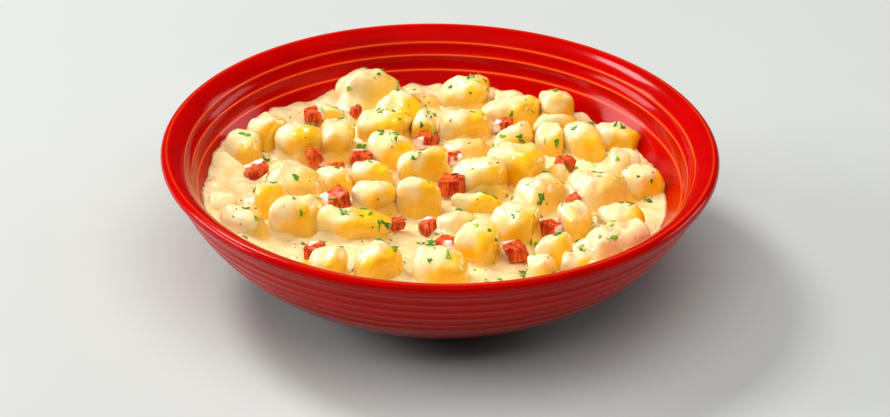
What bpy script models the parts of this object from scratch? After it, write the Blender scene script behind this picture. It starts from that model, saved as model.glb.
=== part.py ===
"""Potato gnocchi with diced ham in a cream sauce, in a wide red glazed bowl.

The bowl is one turned solid: a rolled lip, three sharp rings and shallow flutes inside the
upper wall, finer ribs outside, and a foot ring. The sauce is a solid up to its level, with a
pocket for the heap of gnocchi, which is one solid out to its uneven outline. The ham dice
lie in sockets in the heap and the sauce. Metres, +Z up, origin at the middle of the foot.
"""

import math

import bmesh
import bpy
import numpy as np
from mathutils import Matrix, Vector

MM = 0.001  # sizes below are in millimetres

# ---- driving sizes -------------------------------------------------------------------------
BOWL_RADIUS = 125.0  # a 250 mm pasta bowl
BOWL_HEIGHT = 63.0
TURN_STEPS = 36  # facets of every turned solid, so that walls and sauce run parallel
GAP = 0.3  # clearance between pieces that touch

# The wall is an arc, turned about the axis. Outside and inside share its centre.
WALL_CENTRE_R = 41.0
WALL_CENTRE_Z = BOWL_HEIGHT + 26.2
OUTER_WALL = 87.3
INNER_WALL = 80.3

LIP_ROLL = 2.7  # radius of the rolled lip
LIP_SHOULDER = (3.4, 0.9)  # the inner lip bends here: out from the top ring, below the rim
RING_CRESTS = ((114.1, 5.5), (110.9, 10.6), (108.7, 17.25))  # radius, depth below the rim
RING_FLUTE = 0.5  # how far the flutes between the rings sink into the wall
RIB_COUNT = 6
RIB_TOP = 8.2  # depth of the first outer rib below the rim
RIB_PITCH = 5.0
RIB_FLUTE = 0.6
NOTCH_DROP = 2.4  # the notch under the lip lies this far above the first rib

WALL_STEEPEST = 55.0  # degrees; the smooth inner wall ends here, just under the lowest ring
WALL_POINTS = 5  # on the inner wall
BELLY_POINTS = 3  # on the outer wall, between the ribs and the foot

FOOT_INNER = 45.0
FOOT_OUTER = 53.0
FOOT_CHAMFER = 1.2
UNDERSIDE = WALL_CENTRE_Z - OUTER_WALL  # height of the flat underside inside the foot ring

SAUCE_DEPTH = 23.3  # middle of the sauce surface, below the rim
SAUCE_SLOPE = 0.026  # the thick sauce lies a little higher on the left, rise over run
HEAP_RADIUS = 92.0  # the heap's core, which its outer gnocchi stick out of
HEAP_THICKNESS = 8.0
PILLOW_SQUARENESS = 0.8  # below 1 swells an ellipsoid towards a soft brick
SLAB_SIZE = (300.0, 300.0, 40.0)  # the cutter that takes the air off the sauce
POCKET_TOP = 12.0  # the pocket for the heap's core runs up to here, over the sauce
SHARP_EDGE = 35.0  # degrees; edges that turn more than this are shaded sharp

# Each gnocco: x, y, rise of its middle over the sauce, length, width, height (mm),
# heading of its length from +X and slope of its length (degrees). Back row first.
GNOCCHI = (
    (-33, 82, 6, 29, 20, 22, -20, -34),
    (11, 89, 4, 24, 18, 19, -5, 0),
    (-11, 91, -3, 18, 14, 10, 0, 0),
    (31, 83, 1, 16, 13, 14, 0, 0),
    (31, 73, 3, 30, 19, 19, 0, 0),
    (53, 78, 4, 18, 18, 18, 10, 0),
    (-20, 70, 4, 26, 17, 18, -32, -18),
    (-52, 69, 0, 16, 12, 11, 10, 0),
    (11, 60, 3, 26, 18, 18, 0, 0),
    (52, 60, 3, 24, 12, 15, 35, 0),
    (-7, 57, 3, 13, 14, 14, 0, 0),
    (-27, 55, 2, 26, 17, 18, -12, 0),
    (82, 52, 3, 25, 14, 14, -25, -10),
    (52, 49, 3, 15, 16, 15, 80, 0),
    (34, 49, 2, 24, 14, 14, 30, 0),
    (68, 46, 3, 26, 18, 18, -58, -6),
    (-79, 44, 4, 20, 17, 19, 60, 0),
    (-48, 42, 4, 28, 17, 19, 85, 0),
    (10, 43, -2, 21, 12, 10, 0, 0),
    (-65, 36, 3, 21, 20, 21, 30, 0),
    (84, 31, 1, 15, 15, 14, 0, 0),
    (-22, 32, 3, 27, 18, 19, 0, 0),
    (-88, 29, 3, 19, 16, 16, -10, 0),
    (33, 21, 4, 31, 19, 20, -20, 0),
    (53, 19, 0, 12, 10, 9, 0, 0),
    (-8, 18, 3, 24, 18, 19, 0, 0),
    (92, 11, 2, 20, 17, 17, 30, 0),
    (-31, 12, 2, 20, 14, 14, 0, 0),
    (17, 9, 3, 28, 20, 20, -12, 0),
    (72, 4, 1, 28, 19, 18, 0, 0),
    (-46, 4, 1, 19, 14, 14, 5, 0),
    (46, 1, 3, 24, 20, 20, 40, 0),
    (-65, -1, 2, 25, 20, 18, -10, 0),
    (16, -8, -1, 24, 11, 10, 5, 0),
    (-30, -12, 2, 22, 18, 19, 0, 0),
    (-8, -11, 4, 23, 18, 20, 0, 0),
    (-76, -18, 3, 18, 17, 18, 45, 0),
    (-96, -18, 0, 14, 13, 11, 0, 0),
    (81, -26, 3, 22, 17, 17, 0, 0),
    (9, -27, -1, 18, 10, 9, 10, 0),
    (61, -27, 4, 20, 19, 20, 40, 0),
    (-62, -33, 4, 29, 18, 20, 40, 0),
    (33, -34, 4, 22, 18, 19, -20, 0),
    (-39, -36, 3, 34, 15, 16, -5, 0),
    (-86, -37, 2, 22, 16, 15, -20, 0),
    (80, -41, 2, 30, 16, 15, 35, 0),
    (17, -48, 3, 24, 21, 20, 60, 0),
    (51, -53, 2, 16, 16, 16, 80, 0),
    (61, -63, 2, 17, 13, 13, 10, 0),
    (46, -68, 2, 14, 12, 12, 0, 0),
    (-27, -68, 3, 23, 19, 20, 10, 0),
    (0, -72, 2, 28, 18, 18, 0, 0),
    (-48, -75, 2, 18, 15, 15, 0, 0),
    (70, -66, 0, 18, 13, 12, 46, 0),
    (-62, -75, 0, 20, 13, 12, -38, 0),
    (46, -84, 0, 20, 13, 12, 29, 0),
    (-34, -91, 0, 21, 14, 12, -20, 0),
    (22, -93, 0, 21, 14, 12, 13, 0),
    (-6, -95, 0, 22, 14, 12, -4, 0),
)

# Each ham dice: x, y, rise of its middle over the sauce, width, depth, height (mm),
# heading and tip (degrees).
HAM_DICE = (
    (-59, 65, 2, 8, 7, 6, 20, 10),
    (-40, 68, 3, 6, 6, 5, -30, 15),
    (29, 64, 2, 9, 7, 5, -15, 8),
    (57, 28, 2, 7, 7, 6, 30, -12),
    (-6, 45, 2, 9, 7, 6, -25, 10),
    (6, 32, 0, 8, 6, 5, 10, 5),
    (-36, 26, 2, 9, 7, 5, -5, -8),
    (-57, 22, 3, 7, 7, 7, 15, 10),
    (-47, 15, 1, 8, 5, 6, 10, 0),
    (-83, 12, 1, 10, 8, 5, 25, 12),
    (6, 2, 3, 11, 9, 8, -20, 15),
    (61, -6, 1, 8, 6, 6, 35, 10),
    (-46, -17, 3, 10, 9, 8, 35, 20),
    (-18, -32, 1, 6, 5, 5, 10, 8),
    (-5, -33, 1, 7, 6, 5, 40, 15),
    (49, -33, 2, 8, 7, 6, 30, -10),
    (4, -52, 3, 9, 7, 6, -35, 12),
    (34, -54, 2, 9, 9, 7, 15, 10),
    (-54, -59, 1, 8, 8, 6, -25, 12),
)

# ---- colours: sRGB, roughness, metallic ------------------------------------------------------
FINISHES = {
    "red_glaze": ("C80E06", 0.12, 0.0),
    "cream_sauce": ("EED29C", 0.30, 0.0),
    "boiled_potato_dough": ("F6CF78", 0.35, 0.0),
    "cooked_ham": ("C43A22", 0.35, 0.0),
}


def material(name):
    """A Principled material with this finish's colour, roughness and metallic value."""
    code, roughness, metallic = FINISHES[name]
    found = bpy.data.materials.new(name)
    found.use_nodes = True
    shader = found.node_tree.nodes["Principled BSDF"]
    levels = [int(code[i : i + 2], 16) / 255 for i in (0, 2, 4)]
    linear = [c / 12.92 if c < 0.04045 else ((c + 0.055) / 1.055) ** 2.4 for c in levels]
    shader.inputs["Base Color"].default_value = (*linear, 1.0)
    shader.inputs["Roughness"].default_value = roughness
    shader.inputs["Metallic"].default_value = metallic
    found.diffuse_color = (*linear, 1.0)
    return found


def clear_scene():
    for old in list(bpy.data.objects):
        bpy.data.objects.remove(old, do_unlink=True)


def new_collection(name):
    made = bpy.data.collections.new(name)
    bpy.context.scene.collection.children.link(made)
    return made


def place(mesh, name, collection, finish=None):
    obj = bpy.data.objects.new(name, mesh)
    collection.objects.link(obj)
    if finish:
        mesh.materials.append(finish)
    return obj


def make_cutter(obj):
    obj.hide_render = True
    obj.display_type = "WIRE"
    return obj


def turned(name, profile, collection, finish=None):
    """A solid turned about +Z. The profile, in mm (radius, height), starts on the axis at the
    top, runs down the outer side and ends on the axis at the bottom."""
    mesh = bpy.data.meshes.new(name)
    points = [(r * MM, 0.0, z * MM) for r, z in profile]
    mesh.from_pydata(points, [(i, i + 1) for i in range(len(points) - 1)], [])
    obj = place(mesh, name, collection, finish)
    screw = obj.modifiers.new("turn", "SCREW")
    screw.axis = "Z"
    screw.steps = TURN_STEPS
    screw.render_steps = TURN_STEPS
    screw.use_merge_vertices = True
    screw.merge_threshold = 0.00001
    screw.use_smooth_shade = False
    return obj


def wall_height(radius_of_arc, r):
    """Height of the wall arc of that radius where it is r from the bowl's axis."""
    return WALL_CENTRE_Z - math.sqrt(radius_of_arc**2 - (r - WALL_CENTRE_R) ** 2)


def wall_radius(radius_of_arc, depth):
    """Distance of the wall arc from the bowl's axis at this depth below the rim."""
    drop = WALL_CENTRE_Z - (BOWL_HEIGHT - depth)
    return WALL_CENTRE_R + math.sqrt(radius_of_arc**2 - drop**2)


def wall_arc(radius_of_arc, steepest, count):
    """Points along the wall, from the flat floor up to the angle steepest (degrees)."""
    angles = [math.radians(steepest) * i / count for i in range(count + 1)]
    return [
        (
            WALL_CENTRE_R + radius_of_arc * math.sin(a),
            WALL_CENTRE_Z - radius_of_arc * math.cos(a),
        )
        for a in angles
    ]


def fluted(crests, sink, points):
    """The run through sharp crests with a shallow flute between each two. A flute is a chord
    pushed sideways by sink * 4t(1 - t), t being the way along it, at that many points."""
    run = [crests[0]]
    for (r0, z0), (r1, z1) in zip(crests, crests[1:]):
        length = math.hypot(r1 - r0, z1 - z0)
        side = ((z1 - z0) / length * sink, -(r1 - r0) / length * sink)
        for i in range(1, points + 1):
            t = i / (points + 1)
            bow = 4 * t * (1 - t)
            run.append((r0 + (r1 - r0) * t + side[0] * bow, z0 + (z1 - z0) * t + side[1] * bow))
        run.append((r1, z1))
    return run


def round_over(start, corner, end, count):
    """A quadratic curve from start to end that leaves and arrives towards the corner, without
    its first point."""
    run = []
    for t in (i / count for i in range(1, count + 1)):
        weights = ((1 - t) ** 2, 2 * t * (1 - t), t**2)
        run.append(tuple(sum(w * p[k] for w, p in zip(weights, (start, corner, end))) for k in (0, 1)))
    return run


def bowl_profile():
    """From the middle of the floor up the inside, over the lip and down the outside."""
    inside = [(0.0, WALL_CENTRE_Z - INNER_WALL)]
    inside += wall_arc(INNER_WALL, WALL_STEEPEST, WALL_POINTS)
    lip_r = BOWL_RADIUS - LIP_ROLL
    lip_z = BOWL_HEIGHT - LIP_ROLL
    crests = [(r, BOWL_HEIGHT - depth) for r, depth in reversed(RING_CRESTS)]
    inside += fluted(crests, RING_FLUTE, 2)
    shoulder = (crests[-1][0] + LIP_SHOULDER[0], BOWL_HEIGHT - LIP_SHOULDER[1])
    lip = round_over(crests[-1], shoulder, (lip_r, BOWL_HEIGHT), 4)
    turn = [math.radians(angle) for angle in (60, 30, 0, -30)]
    lip += [(lip_r + LIP_ROLL * math.cos(a), lip_z + LIP_ROLL * math.sin(a)) for a in turn]
    notch = RIB_TOP - NOTCH_DROP
    lip.append((wall_radius(OUTER_WALL, notch), BOWL_HEIGHT - notch))
    ribs = []
    for i in range(RIB_COUNT):
        depth = RIB_TOP + RIB_PITCH * i
        ribs.append((wall_radius(OUTER_WALL, depth), BOWL_HEIGHT - depth))
    outside = fluted(ribs, RIB_FLUTE, 1)
    lowest_rib = math.degrees(math.asin((ribs[-1][0] - WALL_CENTRE_R) / OUTER_WALL))
    belly = wall_arc(OUTER_WALL, lowest_rib, BELLY_POINTS)
    outside += [p for p in reversed(belly[:-1]) if p[0] > FOOT_OUTER + 2 * FOOT_CHAMFER]
    foot = [
        (FOOT_OUTER, wall_height(OUTER_WALL, FOOT_OUTER)),
        (FOOT_OUTER, FOOT_CHAMFER),
        (FOOT_OUTER - FOOT_CHAMFER, 0.0),
        (FOOT_INNER + FOOT_CHAMFER, 0.0),
        (FOOT_INNER, FOOT_CHAMFER),
        (FOOT_INNER, UNDERSIDE),
        (0.0, UNDERSIDE),
    ]
    return inside + lip + outside + foot


def inside_profile(top):
    """The bowl's inside, the gap smaller, up to that height: what the food may fill."""
    radius = INNER_WALL - GAP
    wall = [p for p in wall_arc(radius, WALL_STEEPEST, WALL_POINTS) if p[1] < top]
    return [(0.0, top), (wall[-1][0], top)] + wall[::-1] + [(0.0, WALL_CENTRE_Z - radius)]


def sauce_height(x):
    return BOWL_HEIGHT - SAUCE_DEPTH - SAUCE_SLOPE * x


def box_mesh(name, size):
    shape = bmesh.new()
    bmesh.ops.create_cube(shape, size=1.0, matrix=Matrix.Diagonal((*[s * MM for s in size], 1.0)))
    mesh = bpy.data.meshes.new(name)
    shape.to_mesh(mesh)
    shape.free()
    return mesh


def pillow_mesh(name, size):
    """A soft brick: a sphere with its poles along X, each coordinate raised to the power
    PILLOW_SQUARENESS, stretched to size."""
    shape = bmesh.new()
    bmesh.ops.create_uvsphere(
        shape,
        u_segments=8,
        v_segments=5,
        radius=1.0,
        matrix=Matrix.Rotation(math.radians(90), 4, "Y"),
    )
    co = np.array([v.co for v in shape.verts])
    co = np.sign(co) * np.abs(co) ** PILLOW_SQUARENESS * np.array(size) / 2 * MM
    for vertex, point in zip(shape.verts, co):
        vertex.co = point
    mesh = bpy.data.meshes.new(name)
    shape.to_mesh(mesh)
    shape.free()
    return mesh


def lay_down(obj, x, y, rise, heading, slope):
    """Puts a piece at x, y, its middle rise above the sauce, turned and then sloped."""
    obj.location = Vector((x, y, sauce_height(x) + rise)) * MM
    obj.rotation_euler = (0.0, math.radians(-slope), math.radians(heading))


def boolean(obj, operation, cutters=None, collection=None):
    cut = obj.modifiers.new(operation.lower(), "BOOLEAN")
    cut.operation = operation
    cut.solver = "EXACT"
    if collection:
        cut.operand_type = "COLLECTION"
        cut.collection = collection
    else:
        cut.object = cutters


def tilted_slab(name, collection):
    """A wide slab whose underside is the sauce surface, with its slope."""
    obj = place(box_mesh(name, SLAB_SIZE), name, collection)
    obj.location = (0.0, 0.0, (sauce_height(0) + SLAB_SIZE[2] / 2) * MM)
    obj.rotation_euler = (0.0, math.atan(SAUCE_SLOPE), 0.0)
    return make_cutter(obj)


def heap_core(name, grow, top, collection):
    """The flat round core that joins the gnocchi, parallel to the sauce surface."""
    profile = [
        (0.0, top),
        (HEAP_RADIUS + grow, top),
        (HEAP_RADIUS + grow, -HEAP_THICKNESS - grow),
        (0.0, -HEAP_THICKNESS - grow),
    ]
    obj = turned(name, profile, collection)
    obj.location = (0.0, 0.0, sauce_height(0) * MM)
    obj.rotation_euler = (0.0, math.atan(SAUCE_SLOPE), 0.0)
    return obj


def pillows(name, grow, collection):
    for i, (x, y, rise, *size, heading, slope) in enumerate(GNOCCHI, 1):
        grown = [s + 2 * grow for s in size]
        obj = place(pillow_mesh(f"{name}_{i:02d}", grown), f"{name}_{i:02d}", collection)
        lay_down(obj, x, y, rise, heading, slope)
        make_cutter(obj)


def largest_body(obj):
    """Applies the modifiers and keeps the largest joined body, so that no small puddle cut
    off between two gnocchi and the core stays behind."""
    graph = bpy.context.evaluated_depsgraph_get()
    mesh = bpy.data.meshes.new_from_object(obj.evaluated_get(graph))
    shape = bmesh.new()
    shape.from_mesh(mesh)
    bodies, left = [], set(shape.verts)
    while left:
        body, edge = set(), [left.pop()]
        while edge:
            vertex = edge.pop()
            body.add(vertex)
            for near in (e.other_vert(vertex) for e in vertex.link_edges):
                if near in left:
                    left.remove(near)
                    edge.append(near)
        bodies.append(body)
    bodies.sort(key=len)
    for small in bodies[:-1]:
        bmesh.ops.delete(shape, geom=list(small), context="VERTS")
    shape.to_mesh(mesh)
    shape.free()
    obj.modifiers.clear()
    obj.data = mesh


def smooth(obj):
    obj.data.shade_smooth()
    obj.data.set_sharp_from_angle(angle=math.radians(SHARP_EDGE))


def make_bowl(parts):
    bowl = turned("bowl", bowl_profile(), parts, material("red_glaze"))
    bowl.modifiers["turn"].use_smooth_shade = True
    return bowl


def make_ham(parts, sockets):
    """The dice, and for each a socket the gap larger, which heap and sauce are cut with."""
    finish = material("cooked_ham")
    for i, (x, y, rise, *size, heading, tip) in enumerate(HAM_DICE, 1):
        name = f"ham_dice_{i:02d}"
        dice = place(box_mesh(name, size), name, parts, finish)
        socket_size = [s + 2 * GAP for s in size]
        socket = place(box_mesh(f"socket_{i:02d}", socket_size), f"socket_{i:02d}", sockets)
        make_cutter(socket)
        for piece in (dice, socket):
            lay_down(piece, x, y, rise, heading, tip)


def make_heap(parts, lumps, sockets, inside):
    """Core and gnocchi joined, trimmed to the bowl's inside, with the dice's sockets."""
    heap = heap_core("gnocchi_heap", 0.0, 0.0, parts)
    heap.data.materials.append(material("boiled_potato_dough"))
    pillows("gnocco", 0.0, lumps)
    boolean(heap, "UNION", collection=lumps)
    boolean(heap, "INTERSECT", cutters=inside)
    boolean(heap, "DIFFERENCE", collection=sockets)
    largest_body(heap)
    smooth(heap)


def make_sauce(parts, cutters, grown, sockets):
    """The pool up to its level, less the pocket for the heap and the dice's sockets."""
    full = inside_profile(sauce_height(0) + POCKET_TOP)
    sauce = turned("cream_sauce", full, parts, material("cream_sauce"))
    boolean(sauce, "DIFFERENCE", cutters=tilted_slab("air_above_sauce", cutters))
    make_cutter(heap_core("core_pocket", GAP, POCKET_TOP, grown))
    pillows("pocket", GAP, grown)
    boolean(sauce, "DIFFERENCE", collection=grown)
    boolean(sauce, "DIFFERENCE", collection=sockets)
    largest_body(sauce)
    smooth(sauce)


def main():
    clear_scene()
    parts = new_collection("gnocchi_in_bowl")
    cutters = new_collection("cutters")
    lumps = new_collection("cutters_gnocchi")
    grown = new_collection("cutters_pocket")
    sockets = new_collection("cutters_sockets")
    inside = make_cutter(turned("bowl_inside", inside_profile(BOWL_HEIGHT), cutters))
    make_bowl(parts)
    make_ham(parts, sockets)
    make_heap(parts, lumps, sockets, inside)
    make_sauce(parts, cutters, grown, sockets)


main()
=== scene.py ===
"""Looks of the dish: potato gnocchi and diced ham in cream sauce, in a glazed red bowl.

Every piece is a surface worked out with numpy, in metres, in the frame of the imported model.
Sizes below are in millimetres and heights count from the bowl's foot.
"""

import math

import bpy
import numpy as np
from mathutils import Matrix, Vector
from mathutils.bvhtree import BVHTree


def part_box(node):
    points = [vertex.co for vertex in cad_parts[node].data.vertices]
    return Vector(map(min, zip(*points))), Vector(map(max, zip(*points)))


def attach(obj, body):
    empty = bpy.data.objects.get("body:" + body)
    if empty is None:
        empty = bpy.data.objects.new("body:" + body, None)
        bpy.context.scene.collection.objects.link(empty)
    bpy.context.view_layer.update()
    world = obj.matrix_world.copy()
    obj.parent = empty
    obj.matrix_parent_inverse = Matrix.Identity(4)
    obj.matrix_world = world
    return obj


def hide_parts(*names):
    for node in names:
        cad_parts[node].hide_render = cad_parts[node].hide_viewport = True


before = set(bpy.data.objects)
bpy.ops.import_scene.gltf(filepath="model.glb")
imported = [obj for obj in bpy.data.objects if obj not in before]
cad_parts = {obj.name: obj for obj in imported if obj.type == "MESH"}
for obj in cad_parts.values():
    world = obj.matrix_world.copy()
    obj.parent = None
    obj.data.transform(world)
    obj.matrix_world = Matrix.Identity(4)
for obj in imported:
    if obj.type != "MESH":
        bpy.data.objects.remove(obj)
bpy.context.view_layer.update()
MM = 0.001

# ---- the bowl, as it is built ---------------------------------------------------------------
BOWL_LOW, BOWL_HIGH = (np.array(corner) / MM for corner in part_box("bowl"))
RIM = BOWL_HIGH[2]  # 63 mm
BOWL_RADIUS = BOWL_HIGH[0]  # 125 mm
WALL_CENTRE_R = 41.0
WALL_CENTRE_Z = RIM + 26.2
OUTER_WALL = 87.3
INNER_WALL = 80.3
LIP_ROLL = 2.7
RING_CRESTS = ((114.1, 5.5), (110.9, 10.6), (108.7, 17.25))  # radius, depth below the rim
RING_FLUTE = 0.5
RIB_COUNT = 6
RIB_TOP = 8.2
RIB_PITCH = 5.0
RIB_FLUTE = 0.6
FOOT_INNER = 45.0
FOOT_OUTER = 53.0
FOOT_CHAMFER = 1.2

# ---- the food, as it is laid ----------------------------------------------------------------
SAUCE_DEPTH = 23.3
SAUCE_SLOPE = 0.026

# Each gnocco: x, y, rise of its middle over the sauce, length, width, height (mm), heading and
# slope of its length (degrees), how much of the cream lies on it, from 0 to 1, and the depth of
# the thumb dent across its middle.
GNOCCHI = (
    (-33, 82, 6, 29, 20, 22, -20, -34, 0.7, 0),
    (11, 89, 4, 24, 18, 19, -5, 0, 0.4, 0.4),
    (-11, 91, -3, 18, 14, 10, 0, 0, 1.0, 0),
    (31, 83, 1, 16, 13, 14, 0, 0, 0.4, 0),
    (31, 73, 3, 30, 19, 19, 0, 0, 0.4, 0.6),
    (53, 78, 4, 18, 18, 18, 10, 0, 0.5, 0),
    (-20, 70, 4, 26, 17, 18, -32, -18, 0.2, 0),
    (-52, 69, 0, 16, 12, 11, 10, 0, 0.5, 0),
    (11, 60, 3, 26, 18, 18, 0, 0, 0.4, 0.6),
    (52, 60, 3, 24, 12, 15, 35, 0, 0.4, 0),
    (-7, 57, 3, 13, 14, 14, 0, 0, 0.3, 0),
    (-27, 55, 2, 26, 17, 18, -12, 0, 0.2, 0.5),
    (82, 52, 3, 25, 14, 14, -25, -10, 0.4, 0.6),
    (52, 49, 3, 15, 16, 15, 80, 0, 0.5, 0),
    (34, 49, 2, 24, 14, 14, 30, 0, 0.3, 0),
    (68, 46, 3, 26, 18, 18, -58, -6, 0.3, 0),
    (-79, 44, 4, 20, 17, 19, 60, 0, 0.4, 0),
    (-48, 42, 4, 28, 17, 19, 85, 0, 0.5, 0.7),
    (10, 43, -2, 21, 12, 10, 0, 0, 0.8, 0),
    (-65, 36, 3, 21, 20, 21, 30, 0, 0.2, 0),
    (84, 31, 1, 15, 15, 14, 0, 0, 0.7, 0),
    (-22, 32, 3, 27, 18, 19, 0, 0, 0.4, 0.5),
    (-88, 29, 3, 19, 16, 16, -10, 0, 0.5, 0.4),
    (33, 21, 4, 31, 19, 20, -20, 0, 0.3, 0.8),
    (53, 19, 0, 12, 10, 9, 0, 0, 0.7, 0),
    (-8, 18, 3, 24, 18, 19, 0, 0, 0.3, 0.5),
    (92, 11, 2, 20, 17, 17, 30, 0, 0.4, 0),
    (-31, 12, 2, 20, 14, 14, 0, 0, 0.3, 0),
    (17, 9, 3, 28, 20, 20, -12, 0, 0.5, 0.3),
    (72, 4, 1, 28, 19, 18, 0, 0, 0.8, 1.2),
    (-46, 4, 1, 19, 14, 14, 5, 0, 0.4, 0),
    (46, 1, 3, 24, 20, 20, 40, 0, 0.7, 2.0),
    (-65, -1, 2, 25, 20, 18, -10, 0, 0.7, 0.6),
    (16, -8, -1, 24, 11, 10, 5, 0, 0.3, 0),
    (-30, -12, 2, 22, 18, 19, 0, 0, 0.5, 0),
    (-8, -11, 4, 23, 18, 20, 0, 0, 0.3, 0.6),
    (-76, -18, 3, 18, 17, 18, 45, 0, 0.1, 0),
    (-96, -18, 0, 14, 13, 11, 0, 0, 0.7, 0),
    (81, -26, 3, 22, 17, 17, 0, 0, 0.4, 0.3),
    (9, -27, -1, 18, 10, 9, 10, 0, 0.7, 0),
    (61, -27, 4, 20, 19, 20, 40, 0, 0.4, 1.8),
    (-62, -33, 4, 29, 18, 20, 40, 0, 0.4, 0.9),
    (33, -34, 4, 22, 18, 19, -20, 0, 0.4, 0.5),
    (-39, -36, 3, 34, 15, 16, -5, 0, 0.2, 0.7),
    (-86, -37, 2, 22, 16, 15, -20, 0, 0.7, 0.5),
    (80, -41, 2, 30, 16, 15, 35, 0, 0.7, 0.9),
    (17, -48, 3, 24, 21, 20, 60, 0, 0.4, 0.9),
    (51, -53, 2, 16, 16, 16, 80, 0, 0.3, 0),
    (61, -63, 2, 17, 13, 13, 10, 0, 0.5, 0),
    (46, -68, 2, 14, 12, 12, 0, 0, 0.5, 0),
    (-27, -68, 3, 23, 19, 20, 10, 0, 0.3, 0.4),
    (0, -72, 2, 28, 18, 18, 0, 0, 0.4, 0.8),
    (-48, -75, 2, 18, 15, 15, 0, 0, 0.3, 0),
    (70, -66, 0, 18, 13, 12, 46, 0, 0.5, 0),
    (-62, -75, 0, 20, 13, 12, -38, 0, 0.5, 0),
    (46, -84, 0, 20, 13, 12, 29, 0, 0.5, 0),
    (-34, -91, 0, 21, 14, 12, -20, 0, 0.5, 0),
    (22, -93, 0, 21, 14, 12, 13, 0, 0.5, 0),
    (-6, -95, 0, 22, 14, 12, -4, 0, 0.5, 0),
)

# Each ham dice: x, y, rise over the sauce, width, depth, height (mm), heading, tip (degrees).
HAM_DICE = (
    (-59, 65, 2, 8, 7, 6, 20, 10),
    (-40, 68, 3, 6, 6, 5, -30, 15),
    (29, 64, 2, 9, 7, 5, -15, 8),
    (57, 28, 2, 7, 7, 6, 30, -12),
    (-6, 45, 2, 9, 7, 6, -25, 10),
    (6, 32, 0, 8, 6, 5, 10, 5),
    (-36, 26, 2, 9, 7, 5, -5, -8),
    (-57, 22, 3, 7, 7, 7, 15, 10),
    (-47, 15, 1, 8, 5, 6, 10, 0),
    (-83, 12, 1, 10, 8, 5, 25, 12),
    (6, 2, 3, 11, 9, 8, -20, 15),
    (61, -6, 1, 8, 6, 6, 35, 10),
    (-46, -17, 3, 10, 9, 8, 35, 20),
    (-18, -32, 1, 6, 5, 5, 10, 8),
    (-5, -33, 1, 7, 6, 5, 40, 15),
    (49, -33, 2, 8, 7, 6, 30, -10),
    (4, -52, 3, 9, 7, 6, -35, 12),
    (34, -54, 2, 9, 9, 7, 15, 10),
    (-54, -59, 1, 8, 8, 6, -25, 12),
)

# Chopped parsley that fell together: x, y, how many flecks, how wide the sprinkle (mm).
PARSLEY_SPRINKLES = (
    (-7, 78, 14, 5),
    (-5, -43, 16, 5),
    (-37, 43, 10, 4),
    (6, -20, 9, 4),
    (38, -65, 9, 4),
    (23, -75, 8, 4),
    (69, 71, 8, 4),
    (-62, 40, 4, 3),
    (-36, 86, 2, 1),
    (14, 90, 4, 2),
    (-20, 73, 2, 1),
    (-28, 58, 3, 3),
    (15, 60, 2, 2),
    (-45, 45, 3, 2),
    (-24, 33, 6, 6),
    (52, 80, 4, 4),
    (83, 53, 4, 3),
    (64, 60, 3, 2),
    (38, 46, 4, 4),
    (62, 33, 3, 2),
    (-90, 30, 2, 3),
    (-80, 30, 5, 4),
    (-62, 12, 4, 4),
    (-10, 14, 2, 2),
    (19, -4, 6, 3),
    (47, 8, 4, 4),
    (46, -10, 5, 3),
    (73, 8, 4, 5),
    (95, 2, 4, 3),
    (83, -20, 4, 3),
    (-33, -6, 5, 4),
    (-22, -24, 4, 3),
    (-75, -15, 4, 4),
    (-82, -20, 3, 2),
    (-60, -24, 4, 3),
    (-50, -29, 6, 5),
    (-42, -38, 4, 3),
    (-25, -40, 7, 5),
    (-20, -50, 6, 5),
    (-80, -42, 2, 2),
    (-26, -62, 4, 3),
    (-4, -62, 4, 3),
    (8, -62, 2, 1),
    (18, -34, 4, 3),
    (33, -38, 3, 2),
    (40, -50, 3, 2),
    (52, -52, 2, 1),
    (62, -52, 4, 2),
    (76, -36, 4, 3),
    (62, -22, 2, 2),
)
LOOSE_PARSLEY = 260
PEPPER_GRAINS = 280

rng = np.random.default_rng(7)


# ---- surfaces ---------------------------------------------------------------------------------
def sauce_level(x):
    """Height of the still sauce: a plane that slopes gently down towards +x."""
    return RIM - SAUCE_DEPTH - SAUCE_SLOPE * x


def ripple(points, wavelength, seed, waves=9):
    """A smooth random field of about unit size: the sum of cosine waves of one wavelength,
    running in random directions with random phases, over the square root of half their number."""
    draw = np.random.default_rng(seed)
    ways = draw.normal(size=(waves, points.shape[-1]))
    ways /= np.linalg.norm(ways, axis=1, keepdims=True)
    phases = draw.uniform(0, 2 * np.pi, waves)
    return np.cos(points @ ways.T * (2 * np.pi / wavelength) + phases).sum(-1) / math.sqrt(waves / 2)


def smoothstep(low, high, value):
    """0 below low, 1 above high, and 3t^2 - 2t^3 between them."""
    t = np.clip((value - low) / (high - low), 0.0, 1.0)
    return t * t * (3 - 2 * t)


def soft_maximum(a, b, width):
    """The larger of two heights, with a fillet where they come within width of each other."""
    near = np.maximum(width - np.abs(a - b), 0.0) / width
    return np.maximum(a, b) + near * near * width / 4


def rotation(heading, slope, roll=0.0):
    """Turns about z by the heading, after a slope of the x axis upwards and a roll about it."""
    turn = Matrix.Rotation(math.radians(heading), 3, "Z")
    turn = turn @ Matrix.Rotation(math.radians(-slope), 3, "Y")
    return np.array(turn @ Matrix.Rotation(math.radians(roll), 3, "X"))


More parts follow.
